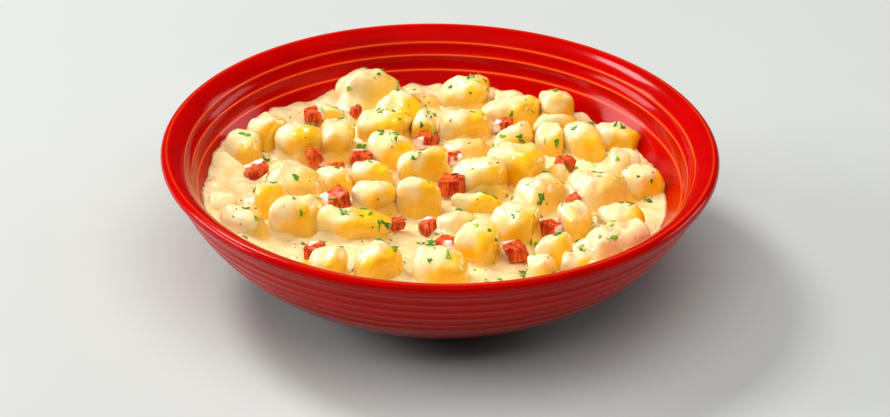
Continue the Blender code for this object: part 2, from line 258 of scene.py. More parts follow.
def closed_shell(rows, columns):
    """Directions on a sphere, rings of columns points between two single poles on the x axis,
    and its faces, all pointing out."""
    polar = np.linspace(0, np.pi, rows + 1)[1:-1, None]
    around = np.linspace(0, 2 * np.pi, columns, endpoint=False)[None, :]
    rings = np.stack(
        np.broadcast_arrays(
            np.cos(polar), np.sin(polar) * np.cos(around), np.sin(polar) * np.sin(around)
        ),
        -1,
    ).reshape(-1, 3)
    directions = np.vstack([[1.0, 0.0, 0.0], rings, [-1.0, 0.0, 0.0]])
    here = np.arange(columns)
    after = (here + 1) % columns
    start = 1 + columns * np.arange(rows - 2)[:, None]
    quads = np.stack(
        [start + here, start + columns + here, start + columns + after, start + after], -1
    ).reshape(-1, 4)
    last = len(directions) - 1
    final = 1 + columns * (rows - 2)
    first_fan = np.stack([np.zeros(columns, int), 1 + here, 1 + after], -1)
    last_fan = np.stack([np.full(columns, last), final + after, final + here], -1)
    return directions, quads, np.vstack([first_fan, last_fan])


def new_piece(name, points, quads, triangles, attributes=None, smooth=True):
    """A mesh object at the origin from points in mm, faces by point number, and one number a
    point for each attribute."""
    mesh = bpy.data.meshes.new(name)
    mesh.from_pydata((points * MM).tolist(), [], quads.tolist() + triangles.tolist())
    for key, values in (attributes or {}).items():
        layer = mesh.attributes.new(key, "FLOAT", "POINT")
        layer.data.foreach_set("value", np.ascontiguousarray(values, np.float32))
    mesh.validate()
    if smooth:
        mesh.shade_smooth()
    piece = bpy.data.objects.new(name, mesh)
    bpy.context.scene.collection.objects.link(piece)
    return piece


def many_shells(shapes, quads, triangles):
    """Joins equal shells, shapes[shell, point], into one list of points and faces."""
    count, size = shapes.shape[:2]
    shift = (size * np.arange(count))[:, None, None]
    return (
        shapes.reshape(-1, 3),
        (quads[None] + shift).reshape(-1, quads.shape[1]),
        (triangles[None] + shift).reshape(-1, 3),
    )


def finish_piece(piece, material, slot, *nodes):
    """Gives a piece its material and its place in the frame."""
    piece.data.materials.append(material)
    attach(piece, "root")
    if nodes:
        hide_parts(*nodes)
    return piece


# ---- materials ----------------------------------------------------------------------------------
def colour(code):
    """An sRGB hex value as linear red, green, blue and alpha."""
    levels = [int(code[i : i + 2], 16) / 255 for i in (0, 2, 4)]
    return (*[c / 12.92 if c < 0.04045 else ((c + 0.055) / 1.055) ** 2.4 for c in levels], 1.0)


def add(tree, kind, inputs=None, **settings):
    """Adds a node. Each input is a value, or an output socket to link from."""
    made = tree.nodes.new(kind)
    for key, value in settings.items():
        setattr(made, key, value)
    for key, value in (inputs or {}).items():
        if isinstance(value, bpy.types.NodeSocket):
            tree.links.new(value, made.inputs[key])
        else:
            made.inputs[key].default_value = value
    return made


def new_material(name, **settings):
    """A Principled material with these values on the shader's own sockets."""
    material = bpy.data.materials.new(name)
    material.use_nodes = True
    shader = material.node_tree.nodes["Principled BSDF"]
    for key, value in settings.items():
        shader.inputs[key.replace("_", " ")].default_value = value
    return material, material.node_tree, shader


def blend(tree, share, first, second):
    """Colour from first to second as share goes from 0 to 1."""
    made = add(tree, "ShaderNodeMix", data_type="RGBA")
    for socket, value in ((0, share), (6, first), (7, second)):
        if isinstance(value, bpy.types.NodeSocket):
            tree.links.new(value, made.inputs[socket])
        else:
            made.inputs[socket].default_value = value
    return made.outputs[2]


def place_in_mm(tree):
    """Object coordinates counted in millimetres."""
    where = add(tree, "ShaderNodeTexCoord").outputs["Object"]
    return add(tree, "ShaderNodeVectorMath", {0: where, 1: (1000,) * 3}, operation="MULTIPLY").outputs[0]


def noise(tree, where, size, detail=3.0, low=0.0, high=1.0):
    """Noise whose lumps are about size mm across, spread from low to high."""
    field = add(tree, "ShaderNodeTexNoise", {"Vector": where, "Scale": 1 / size, "Detail": detail})
    return add(
        tree,
        "ShaderNodeMapRange",
        {"Value": field.outputs["Fac"], "From Min": low, "From Max": high},
    ).outputs[0]


def bump(tree, shader, height, distance, strength=1.0, layer="Normal"):
    """Relief from a height field, distance metres deep, on the surface or on its coat."""
    made = add(
        tree, "ShaderNodeBump", {"Height": height, "Distance": distance, "Strength": strength}
    )
    tree.links.new(made.outputs["Normal"], shader.inputs[layer])


def with_spice(tree, where, base):
    """The colour under a sprinkle of ground spice, in grains about 0.4 mm across."""
    grains = add(tree, "ShaderNodeTexVoronoi", {"Vector": where, "Scale": 0.5})
    near = add(
        tree,
        "ShaderNodeMapRange",
        {"Value": grains.outputs["Distance"], "From Min": 0.06, "From Max": 0.13, "To Min": 0.6, "To Max": 0.0},
    ).outputs[0]
    return blend(tree, near, base, colour("A9641C"))


def red_glaze():
    """Glossy red stoneware glaze, dipped and fired: deep red where it lies thick, and thinner, lighter and more
    orange where it has run off the sharp rings and the lip; the lighter orange there is also a painted
    highlight along the crests. It is darkened towards the foot as painted shade."""
    material, tree, shader = new_material(
        "glossy_red_stoneware_glaze", Roughness=0.13, IOR=1.5, Specular_IOR_Level=0.11
    )
    where = place_in_mm(tree)
    thin = add(tree, "ShaderNodeAttribute", attribute_name="thin_glaze_and_crest_highlight").outputs["Fac"]
    deep = blend(tree, noise(tree, where, 30.0, 2.0, 0.35, 0.65), colour("B40100"), colour("A80100"))
    # Painted shade: the glaze is blended to a dark red from 42 mm down to 10 mm over the table, where the
    # bowl's underside lies in shade.
    height = add(tree, "ShaderNodeSeparateXYZ", {0: where}).outputs["Z"]
    foot_painted_shade = add(
        tree, "ShaderNodeMapRange", {"Value": height, "From Min": 42.0, "From Max": 10.0}
    ).outputs[0]
    deep = blend(tree, foot_painted_shade, deep, colour("5E0000"))
    # Painted highlight: lighter orange along the crests, over the thinner glaze there.
    tree.links.new(blend(tree, thin, deep, colour("FF5A22")), shader.inputs["Base Color"])
    bump(tree, shader, noise(tree, where, 9.0, 1.0), 0.0001, 0.35)
    return material


def cream_sauce():
    """Thick cream sauce, simmered: opaque warm cream with light scattered inside it, a wet skin, and fine spice
    in it, turned golden as painted shade beside each gnocco on the side away from the key light."""
    material, tree, shader = new_material(
        "simmered_cream_sauce",
        Roughness=0.34,
        Specular_IOR_Level=0.5,
        Subsurface_Weight=0.5,
        Subsurface_Radius=(1.0, 0.7, 0.35),
        Subsurface_Scale=0.002,
        Coat_Weight=1.0,
        Coat_Roughness=0.06,
    )
    where = place_in_mm(tree)
    cream = blend(tree, noise(tree, where, 11.0, 3.0, 0.35, 0.65), colour("F4DEAA"), colour("ECCC8C"))
    thin = add(tree, "ShaderNodeAttribute", attribute_name="golden_painted_shade").outputs["Fac"]
    # Painted shade: the sauce is blended to gold beside the gnocchi on their shaded side.
    base = blend(tree, thin, cream, colour("F0B830"))
    tree.links.new(with_spice(tree, where, base), shader.inputs["Base Color"])
    bump(tree, shader, noise(tree, where, 2.6, 4.0), 0.0003, 0.5)
    bump(tree, shader, noise(tree, where, 4.0, 1.6), 0.0012, 1.0, "Coat Normal")
    return material


def potato_dough():
    """Boiled potato dough: yellow, smooth and a little translucent, under a coat of cream where sauce was
    poured on it. The cream colour is also painted light: pale on top and on the sides turned to the key light,
    and golden, as painted shade, down the sides turned away."""
    material, tree, shader = new_material(
        "boiled_potato_dough",
        Roughness=0.34,
        Specular_IOR_Level=0.5,
        Subsurface_Weight=0.5,
        Subsurface_Radius=(1.0, 0.7, 0.3),
        Subsurface_Scale=0.002,
        Coat_Weight=1.0,
        Coat_Roughness=0.06,
    )
    where = place_in_mm(tree)
    # The cream share is partly real poured cream and partly painted light: pale cream on faces turned to the
    # key light, golden dough as painted shade on faces turned away.
    coat = add(tree, "ShaderNodeAttribute", attribute_name="cream_and_painted_light").outputs["Fac"]
    fine = noise(tree, where, 5.0, 3.0, 0.3, 0.7)
    share = add(
        tree, "ShaderNodeMath", {0: fine, 1: 0.16, 2: coat}, operation="MULTIPLY_ADD"
    ).outputs[0]
    share = add(
        tree,
        "ShaderNodeMapRange",
        {"Value": share, "From Min": 0.2, "From Max": 1.0},
        interpolation_type="SMOOTHSTEP",
    ).outputs[0]
    dough = blend(tree, noise(tree, where, 8.0, 2.0, 0.35, 0.65), colour("FBB906"), colour("FAC326"))
    coated = blend(tree, share, dough, colour("F8E3AA"))
    tree.links.new(with_spice(tree, where, coated), shader.inputs["Base Color"])
    bump(tree, shader, noise(tree, where, 2.4, 3.0), 0.0004, 0.6)
    bump(tree, shader, noise(tree, where, 4.0, 1.6), 0.0012, 1.0, "Coat Normal")
    return material


def cooked_ham():
    """Cured ham, diced and fried soft: red-brown meat with a grain, pale fat, wet with cream."""
    material, tree, shader = new_material(
        "cured_ham_diced",
        Roughness=0.45,
        Specular_IOR_Level=0.2,
        Subsurface_Weight=0.05,
        Subsurface_Radius=(1.0, 0.35, 0.2),
        Subsurface_Scale=0.002,
        Coat_Weight=0.1,
        Coat_Roughness=0.12,
    )
    where = place_in_mm(tree)
    fat = add(tree, "ShaderNodeAttribute", attribute_name="fat").outputs["Fac"]
    fibre = add(tree, "ShaderNodeMapping", {"Vector": where, "Scale": (1.0, 1.0, 0.25)}).outputs[0]
    meat = blend(tree, noise(tree, fibre, 1.8, 4.0, 0.38, 0.62), colour("A61604"), colour("EA6420"))
    meat = blend(tree, noise(tree, where, 1.0, 2.0, 0.6, 0.74), meat, colour("6A1004"))
    tree.links.new(blend(tree, fat, meat, colour("F8E2D2")), shader.inputs["Base Color"])
    bump(tree, shader, noise(tree, fibre, 1.1, 3.0), 0.0005, 0.6)
    return material


def chopped_herb():
    """Parsley, chopped fresh: mid to dark green leaf, yellow-green at the stems."""
    material, tree, shader = new_material("chopped_fresh_parsley", Roughness=0.42, Coat_Weight=0.2)
    tone = add(tree, "ShaderNodeAttribute", attribute_name="leaf_tone").outputs["Fac"]
    ramp = add(tree, "ShaderNodeValToRGB", {"Fac": tone})
    ramp.color_ramp.elements[0].color = colour("286204")
    ramp.color_ramp.elements[1].color = colour("C6DA34")
    middle = ramp.color_ramp.elements.new(0.5)
    middle.color = colour("68A60E")
    where = place_in_mm(tree)
    tree.links.new(
        blend(tree, noise(tree, where, 0.8, 2.0, 0.4, 0.8), ramp.outputs["Color"], colour("347408")),
        shader.inputs["Base Color"],
    )
    bump(tree, shader, noise(tree, where, 0.5, 2.0), 0.0002, 0.5)
    return material


def ground_pepper():
    """Black pepper, coarsely ground: near-black husk and tan kernel."""
    material, tree, shader = new_material("ground_black_pepper", Roughness=0.5)
    tone = add(tree, "ShaderNodeAttribute", attribute_name="husk").outputs["Fac"]
    tree.links.new(blend(tree, tone, colour("3A2612"), colour("9A6A2C")), shader.inputs["Base Color"])
    return material


def pale_floor():
    """Matt white table top, seamless."""
    material, tree, shader = new_material("matt_white_table", Roughness=0.7)
    where = place_in_mm(tree)
    tree.links.new(
        blend(tree, noise(tree, where, 60.0, 2.0), colour("BBBDB9"), colour("B7B9B5")),
        shader.inputs["Base Color"],
    )
    return material


# ---- bowl ---------------------------------------------------------------------------------------
def wall_radius(radius_of_arc, depth):
    """Distance of a wall arc from the axis at this depth below the rim."""
    drop = WALL_CENTRE_Z - (RIM - depth)
    return WALL_CENTRE_R + np.sqrt(radius_of_arc**2 - drop**2)


def arc(centre, radius, start, stop, count):
    """Points on an arc between two angles in degrees, counted from +radius towards +z."""
    angles = np.radians(np.linspace(start, stop, count))
    return np.stack([centre[0] + radius * np.cos(angles), centre[1] + radius * np.sin(angles)], -1)


def flutes(crests, sink, count=9):
    """Sharp crests with a shallow hollow between each two: the chord between them pushed
    sideways by sink * 4t(1 - t), t being the way along it."""
    run = [crests[:1]]
    t = np.linspace(0, 1, count)[1:, None]
    for first, second in zip(crests, crests[1:]):
        along = second - first
        side = np.array([along[1], -along[0]]) / np.linalg.norm(along)
        run.append(first + along * t + side * sink * 4 * t * (1 - t))
    return np.vstack(run)


def bowl_profile():
    """Radius and height along the bowl's section, from the middle of the floor up the inside, over the lip and
    down the outside, and how thin the glaze lies there, which also sets the painted highlight along each crest."""
    lip = np.array([BOWL_RADIUS - LIP_ROLL, RIM - LIP_ROLL])
    t = np.linspace(0, 1, 14)[1:, None]
    first_ring, lip_top = np.array([RING_CRESTS[0][0], RIM - RING_CRESTS[0][1]]), lip + [0, LIP_ROLL]
    shoulder = np.array([RING_CRESTS[0][0] + 3.4, RIM - 0.9])
    round_over = (1 - t) ** 2 * first_ring + 2 * t * (1 - t) * shoulder + t**2 * lip_top
    centre = (WALL_CENTRE_R, WALL_CENTRE_Z)
    rings = [[r, RIM - depth] for r, depth in reversed(RING_CRESTS)]
    rings = np.array(rings)
    ribs = np.array(
        [
            [wall_radius(OUTER_WALL, RIB_TOP + RIB_PITCH * i), RIM - RIB_TOP - RIB_PITCH * i]
            for i in range(RIB_COUNT)
        ]
    )
    lowest = -math.degrees(math.acos((ribs[-1][0] - WALL_CENTRE_R) / OUTER_WALL))
    foot = -math.degrees(math.acos((FOOT_OUTER - WALL_CENTRE_R) / OUTER_WALL))
    notch = [wall_radius(OUTER_WALL, RIB_TOP - 2.4), RIM - RIB_TOP + 2.4]
    underside = WALL_CENTRE_Z - OUTER_WALL
    corners = [
        (FOOT_OUTER, FOOT_CHAMFER),
        (FOOT_OUTER - FOOT_CHAMFER, 0.0),
        (FOOT_INNER + FOOT_CHAMFER, 0.0),
        (FOOT_INNER, FOOT_CHAMFER),
        (FOOT_INNER, underside),
        (0.0, underside),
    ]
    run = np.vstack(
        [
            [[0.0, WALL_CENTRE_Z - INNER_WALL]],
            arc(centre, INNER_WALL, -90, -35, 24),
            flutes(rings, RING_FLUTE),
            round_over,
            arc(lip, LIP_ROLL, 85, -30, 16),
            [notch],
            flutes(ribs, RIB_FLUTE),
            arc(centre, OUTER_WALL, lowest, foot, 20)[1:],
            corners,
        ]
    )
    crests = np.vstack([rings, ribs, lip_top[None]])
    return run, crests, np.array([1.0] * 3 + [0.3] * RIB_COUNT + [0.3])


def even_run(run, step):
    """The profile's points spaced evenly along it, about step mm apart."""
    way = np.concatenate([[0.0], np.cumsum(np.linalg.norm(np.diff(run, axis=0), axis=1))])
    even = np.linspace(0, way[-1], int(way[-1] / step))
    return np.stack([np.interp(even, way, run[:, 0]), np.interp(even, way, run[:, 1])], -1)


def make_bowl(steps=288):
    """The section turned about the axis. Its points lie 0.25 mm apart, are averaged with their
    neighbours so that every sharp corner gets a small radius, and are then thinned out where
    the section is nearly straight and far from a crest."""
    run, crests, strength = bowl_profile()
    fine = even_run(run, 0.25)
    for _ in range(2):
        fine[1:-1] = (fine[:-2] + 2 * fine[1:-1] + fine[2:]) / 4
    away = np.linalg.norm(fine[:, None] - crests[None], axis=2)
    # Thinner glaze near each crest, which the material also shows as a painted highlight along it.
    thin = (np.exp(-((away / 0.4) ** 2)) * strength).max(1)
    turning = np.zeros(len(fine))
    turning[1:-1] = np.linalg.norm(fine[:-2] - 2 * fine[1:-1] + fine[2:], axis=1)
    need = np.cumsum(0.012 + np.sqrt(turning) + 0.3 * (thin > 0.01))
    picks = np.unique(np.searchsorted(need, np.linspace(0, need[-1], 230)).clip(0, len(fine) - 1))
    section, thin = fine[picks], thin[picks]
    section[[0, -1], 0] = 0.0
    turn = np.linspace(0, 2 * np.pi, steps, endpoint=False)
    rings = section[1:-1]
    points = np.stack(
        np.broadcast_arrays(
            rings[:, :1] * np.cos(turn), rings[:, :1] * np.sin(turn), rings[:, 1:]
        ),
        -1,
    ).reshape(-1, 3)
    points = np.vstack([[0.0, 0.0, section[0, 1]], points, [0.0, 0.0, section[-1, 1]]])
    here = np.arange(steps)
    after = (here + 1) % steps
    start = 1 + steps * np.arange(len(rings) - 1)[:, None]
    quads = np.stack(
        [start + here, start + steps + here, start + steps + after, start + after], -1
    ).reshape(-1, 4)
    last = len(points) - 1
    final = 1 + steps * (len(rings) - 1)
    fans = np.vstack(
        [
            np.stack([np.zeros(steps, int), 1 + here, 1 + after], -1),
            np.stack([np.full(steps, last), final + after, final + here], -1),
        ]
    )
    glaze = np.concatenate([thin[:1], np.repeat(thin[1:-1], steps), thin[-1:]])
    piece = new_piece("glazed_bowl", points, quads, fans, {"thin_glaze_and_crest_highlight": glaze})
    return finish_piece(piece, red_glaze(), "red_glaze", "bowl")


# ---- gnocchi ------------------------------------------------------------------------------------
def warp(x, y):
    """How far the heap is pushed about sideways here: two slow ripples of the plan."""
    plan = np.stack([x, y], -1)
    return 0.5 * ripple(plan, 15.0, 31), 0.5 * ripple(plan, 15.0, 32)


def relief(x, y):
    """How far tops are raised or lowered here, by kneading: ripples of the plan."""
    plan = np.stack([x, y], -1)
    return 0.32 * ripple(plan, 9.0, 33) + 0.13 * ripple(plan, 4.6, 34)


def thumb_dent(x, y, gnocco):
    """Depth of the dent across a gnocco's middle: a bell along its length."""
    gx, gy, length, heading, dent = gnocco[0], gnocco[1], gnocco[3], gnocco[6], gnocco[-1]
    turn = math.radians(heading)
    along = ((x - gx) * math.cos(turn) + (y - gy) * math.sin(turn)) / length
    return dent * np.exp(-((along / 0.2) ** 2))


def pour(x, y, gnocco):
    """How much cream lies here on a gnocco, more on its left and back: bare below -0.05,
    thickly covered above 0.25."""
    gx, gy, cream = gnocco[0], gnocco[1], gnocco[-2]
    lee = (0.5 * (y - gy) - (x - gx)) / 14
    return 0.2 * lee + 7.0 * (cream - 0.6) + 0.1 * ripple(np.stack([x, y], -1), 15.0, 5)


def gnocco_facets(gnocco, draw):
    """Planes that a gnocco is pressed from: three pairs across its sizes, tilted a little, and
    six at random that take off its edges. Gives their normals over their distances from its
    middle, how sharply they meet, and its turn. They are stretched to reach its full sizes."""
    half = np.array(gnocco[3:6]) / 2
    pairs = np.vstack([np.eye(3), -np.eye(3)]) + draw.normal(size=(6, 3)) * 0.07
    normals = np.vstack([pairs, draw.normal(size=(6, 3))])
    normals /= np.linalg.norm(normals, axis=1, keepdims=True)
    distance = np.linalg.norm(normals * half, axis=1)
    distance *= np.concatenate([np.ones(6), draw.uniform(0.95, 1.12, 6)])
    planes, power = normals / distance[:, None], draw.uniform(2.6, 3.6)
    rays = closed_shell(20, 24)[0] * half
    extent = np.abs(rays / gauge(rays @ planes.T, power)[:, None]).max(0)
    return planes * extent / half, power, rotation(gnocco[6], gnocco[7], draw.uniform(-16, 16))


def gauge(past, power):
    """How far out points lie, 1 being on the surface, from how far they are past each plane:
    (sum of max(0, past)^power)^(1/power)."""
    return (np.maximum(past, 0) ** power).sum(-1) ** (1 / power)


draw = np.random.default_rng(21)
FACETS = [gnocco_facets(gnocco, draw) for gnocco in GNOCCHI]


def make_gnocchi():
    """Each gnocco is a soft polyhedron, whose surface lies along each direction d at d over the
    gauge of d, its lower half drawn out to 1.7 times the depth, since a boiled gnocco sags.
    thumb_dent(), warp() and relief() make it uneven. Its cream colour is a real coat where sauce was poured on
    it, and painted light elsewhere: pale where the surface faces up and to the left and back, towards the key
    light, and golden, as painted shade, where it faces front and right."""
    directions, quads, triangles = closed_shell(34, 44)
    shapes, cream_light_shares = [], []
    for seed, (gnocco, (planes, power, turn)) in enumerate(zip(GNOCCHI, FACETS)):
        gx, gy, rise = gnocco[:3]
        rays = directions * gnocco[3:6]
        x, y, z = turn @ (rays / gauge(rays @ planes.T, power)[:, None]).T
        x, y, z = x + gx, y + gy, np.where(z < 0, 1.7 * z, z)
        z = z + sauce_level(gx) + rise - thumb_dent(x, y, gnocco) + relief(x, y)
        cream = pour(x, y, gnocco)
        push_x, push_y = warp(x, y)
        placed = np.column_stack([x + push_x, y + push_y, z])
        facing = placed - placed.mean(0)
        facing /= np.linalg.norm(facing, axis=1, keepdims=True)
        # Painted light and shade: faces turned up, left and back, towards the key light, get pale cream, and
        # those turned away stay golden; the poured cream and each gnocco's share of cream are real.
        cream_light_share = facing @ np.array([-0.5, 0.36, 0.5]) + 1.2 * smoothstep(-0.4, 0.0, cream)
        cream_light_share += 1.0 * (gnocco[8] - 0.4) + 0.1 * ripple(placed, 10.0, 100 + seed)
        shapes.append(placed)
        cream_light_shares.append(smoothstep(-0.45, 0.72, cream_light_share))
    points, quads, triangles = many_shells(np.array(shapes), quads, triangles)
    piece = new_piece("potato_gnocchi", points, quads, triangles, {"cream_and_painted_light": np.concatenate(cream_light_shares)})
    return finish_piece(piece, potato_dough(), "potato_dough", "gnocchi_heap")


# ---- sauce --------------------------------------------------------------------------------------
def gnocco_height(x, y, gnocco, facets, thickness):
    """Height over the table of the top of a gnocco grown by thickness. Its gauge g is convex
    along each plumb line: the lowest g is found by cutting the line in three, and the top,
    where g = 1, by halving above it. Outside its outline the height falls away, steeply where
    no cream is draped over it."""
    gx, gy, rise, length = gnocco[:4]
    planes, power, turn = facets
    push_x, push_y = warp(x, y)
    x, y = x - push_x, y - push_y
    plan = np.column_stack([x - gx, y - gy, np.zeros_like(x)])
    grown = 1 + thickness[:, None] * np.linalg.norm(planes, axis=1)
    start, climb = plan @ turn @ planes.T / grown, turn[2] @ planes.T / grown

    def past(z):
        return gauge(start + climb * z[:, None], power)

    low, high = np.full_like(x, -length / 2), np.full_like(x, length / 2)
    for _ in range(16):
        third = (high - low) / 3
        falling = past(low + third) > past(high - third)
        low, high = np.where(falling, low + third, low), np.where(falling, high, high - third)
    middle = (low + high) / 2
    least = past(middle)
    low, high = middle.copy(), np.full_like(x, length)
    for _ in range(12):
        half = (low + high) / 2
        inside = past(half) < 1
        low, high = np.where(inside, half, low), np.where(inside, high, half)
    draped = smoothstep(-0.3, 0.3, thickness)
    fall = (2.5 - 2.5 * draped) + (25 - 12 * draped) * (least - 1)
    top = np.where(least < 1, low, middle - fall)
    return sauce_level(gx) + rise + top - thumb_dent(x, y, gnocco) + relief(x, y)


def sauce_top(x, y):
    """Height of the sauce: its level with slow swells, lower among the gnocchi, filleted up against each of
    them, more on the left, and lying in a thick coat over the ones it was poured on. Also a painted shade: a
    golden share, most where the sauce meets a gnocco's right and front, the side turned away from the key
    light."""
    plan = np.stack([x, y], -1)
    from_edge = smoothstep(0.82, 0.97, np.hypot(x, y) / wall_radius(INNER_WALL, SAUCE_DEPTH))
    top = sauce_level(x) + 0.5 * ripple(plan, 34.0, 3) + 0.38 * ripple(plan, 12.0, 4)
    top += 0.07 * ripple(plan, 5.0, 6)
    top -= 2.8 * (1 - from_edge)
    thin = np.zeros_like(x)
    for gnocco, facets in zip(GNOCCHI, FACETS):
        gx, gy = gnocco[:2]
        nearby = np.hypot(x - gx, y - gy) < 24
        near_x, near_y = x[nearby], y[nearby]
        thickness = -0.9 + 1.4 * smoothstep(-0.05, 0.25, pour(near_x, near_y, gnocco))
        thickness -= 1.5 * from_edge[nearby]
        dome = gnocco_height(near_x, near_y, gnocco, facets, thickness)
        fillet = np.clip(2.4 + (gx - near_x + 0.5 * (near_y - gy)) * 0.12, 1.7, 4.0)
        fillet += 1.5 * smoothstep(-0.3, 0.3, thickness)
        top[nearby] = soft_maximum(top[nearby], dome, fillet)
        # Painted shade: golden where the sauce meets each gnocco on its right and front, away from the key
        # light.
        lee_painted_shade = smoothstep(-2.0, 10.0, near_x - gx - 0.7 * (near_y - gy))
        lee_painted_shade *= 0.85 * np.exp(-(((top[nearby] - dome) / 1.5) ** 2))
        thin[nearby] = np.maximum(thin[nearby], lee_painted_shade)
    return top, thin


def make_sauce(cells=236):
    """A square grid of cells is drawn out to a disc so that its cells stay nearly even, and
    raised to the sauce's height. From its edge, which touches the bowl, rings run down the
    bowl's inside to the middle of the floor and close it."""
    line = np.linspace(-1, 1, cells + 1)
    a, b = np.meshgrid(line, line, indexing="xy")
    x = a * np.sqrt(1 - b * b / 2)
    y = b * np.sqrt(1 - a * a / 2)
    edge_reach = wall_radius(INNER_WALL, SAUCE_DEPTH + SAUCE_SLOPE * x * 104.0)
    x, y = x * edge_reach, y * edge_reach
    z, thin = sauce_top(x, y)
    reach = np.hypot(x, y)
    wall = wall_radius(INNER_WALL, RIM - np.minimum(z, RIM - 17.5))
    rim = np.maximum(np.abs(a), np.abs(b)) > 1 - 1e-9
    shrink = np.where(rim, (wall + 0.15) / np.maximum(reach, 1e-9), 1.0)
    x, y = x * shrink, y * shrink
    top = np.stack([x, y, z], -1).reshape(-1, 3)
    number = np.arange((cells + 1) ** 2).reshape(cells + 1, cells + 1)
    quads = np.stack(
        [number[:-1, :-1], number[:-1, 1:], number[1:, 1:], number[1:, :-1]], -1
    ).reshape(-1, 4)
    border = np.concatenate(
        [number[0, :-1], number[:-1, -1], number[-1, :0:-1], number[:0:-1, 0]]
    )
    ways = top[border, :2] / np.linalg.norm(top[border, :2], axis=1, keepdims=True)
    edge = top[border]
    sunk, rings = [], 6
    for i in range(1, rings + 1):
        share = i / rings
        height = edge[:, 2] + (WALL_CENTRE_Z - INNER_WALL + 0.5 - edge[:, 2]) * math.sin(share * math.pi / 2)
        drop = np.minimum((WALL_CENTRE_Z - height) / INNER_WALL, 1.0)
        radius = WALL_CENTRE_R + INNER_WALL * np.sqrt(1 - drop**2) - 0.3
        sunk.append(np.column_stack([ways * radius[:, None], height]))
    bottom = np.vstack(sunk + [[[0.0, 0.0, WALL_CENTRE_Z - INNER_WALL + 0.5]]])
    size = len(border)
    levels = np.vstack([border[None], len(top) + np.arange(rings * size).reshape(rings, size)])
    upper, lower = levels[:-1], levels[1:]
    skirt = np.stack(
        [upper, lower, np.roll(lower, -1, 1), np.roll(upper, -1, 1)], -1
    ).reshape(-1, 4)
    middle = len(top) + rings * size
    fan = np.stack([np.full(size, middle), np.roll(levels[-1], -1), levels[-1]], -1)
    # The golden painted shade from sauce_top, and none on the sunk rings.
    thin = np.concatenate([thin.ravel(), np.zeros(len(bottom))])
    points, quads = np.vstack([top, bottom]), np.vstack([quads, skirt])
    piece = new_piece("sauce_pool", points, quads, fan, {"golden_painted_shade": thin})
    return finish_piece(piece, cream_sauce(), "cream_sauce", "cream_sauce")


# ---- ham ----------------------------------------------------------------------------------------
def boxy_shell(cells):
    """Points on the faces of a cube from -1 to 1, in cells by cells squares a face, joined at
    the edges, and the squares, all pointing out."""
    line = np.linspace(-1, 1, cells + 1)
    a, b = (grid.ravel() for grid in np.meshgrid(line, line, indexing="ij"))
    number = np.arange((cells + 1) ** 2).reshape(cells + 1, cells + 1)
    square = np.stack(
        [number[:-1, :-1], number[1:, :-1], number[1:, 1:], number[:-1, 1:]], -1
    ).reshape(-1, 4)
    points, quads = [], []
    for axis in range(3):
        for side in (-1, 1):
            face = np.stack([np.full_like(a, side), a * side, b], -1)
            points.append(np.roll(face, axis, 1))
            quads.append(square + len(quads) * len(a))
    points, place = np.unique(np.round(np.vstack(points), 6), axis=0, return_inverse=True)
    return points, place.ravel()[np.vstack(quads)]


def make_ham():
    """Each dice is a box whose edges are rounded by 0.9 mm, skewed a little, with cut faces
    made uneven by short ripples. Fat lies on one side of some, past a wavy line."""
    cube, quads = boxy_shell(12)
    draw = np.random.default_rng(5)
    shapes, fats = [], []
    for x, y, rise, width, depth, height, heading, tip in HAM_DICE:
        half = np.array([width, depth, height]) / 2
        core = np.clip(cube * half, 0.9 - half, half - 0.9)
        out = cube * half - core
        out /= np.maximum(np.linalg.norm(out, axis=1, keepdims=True), 1e-9)
        body = core + 0.9 * out
        body[:, 0] += body[:, 2] * draw.uniform(-0.25, 0.25)
        body[:, 1] += body[:, 0] * draw.uniform(-0.2, 0.2)
        body[:, 2] += body[:, 0] * draw.uniform(-0.15, 0.15)
        seed = int(draw.integers(1, 10**6))
        ragged = 0.16 * ripple(body, 6.0, seed) + 0.08 * ripple(body, 2.6, seed + 1)
        body += out * ragged[:, None]
        side = rotation(draw.uniform(0, 360), draw.uniform(-30, 30))[:, 0]
        line = draw.uniform(1.0, 4.5)
        fats.append(smoothstep(-0.4, 0.4, body @ side - line + 0.8 * ripple(body, 5.0, seed + 2)))
        shapes.append(body @ rotation(heading, tip).T + (x, y, sauce_level(x) + rise))
    points, quads, triangles = many_shells(np.array(shapes), quads, np.zeros((0, 3), int))
    piece = new_piece("diced_ham", points, quads, triangles, {"fat": np.concatenate(fats)})
    nodes = [f"ham_dice_{i:02d}" for i in range(1, len(HAM_DICE) + 1)]
    return finish_piece(piece, cooked_ham(), "ham", *nodes)


# ---- herbs and pepper ---------------------------------------------------------------------------
def surface_under(pieces):
    """A function that drops a plumb line at x, y and gives the point and the slope it meets."""
    points, faces = [], []
    for piece in pieces:
        start = len(points)
        points += [v.co[:] for v in piece.data.vertices]
        faces += [[start + i for i in p.vertices] for p in piece.data.polygons]
    tree = BVHTree.FromPolygons(points, faces)

    def drop(x, y):
        spot, normal, _, _ = tree.ray_cast(Vector((x * MM, y * MM, 0.2)), Vector((0, 0, -1)))
        return np.array(spot) / MM, np.array(normal)

    return drop


def frame_on(normal, turn):
    """Axes of a small piece that lies on a slope: its z along the normal, turned about it."""
    side = np.cross(normal, [math.cos(turn), math.sin(turn), 0.0])
    side /= np.linalg.norm(side)
    return np.column_stack([side, np.cross(normal, side), normal])


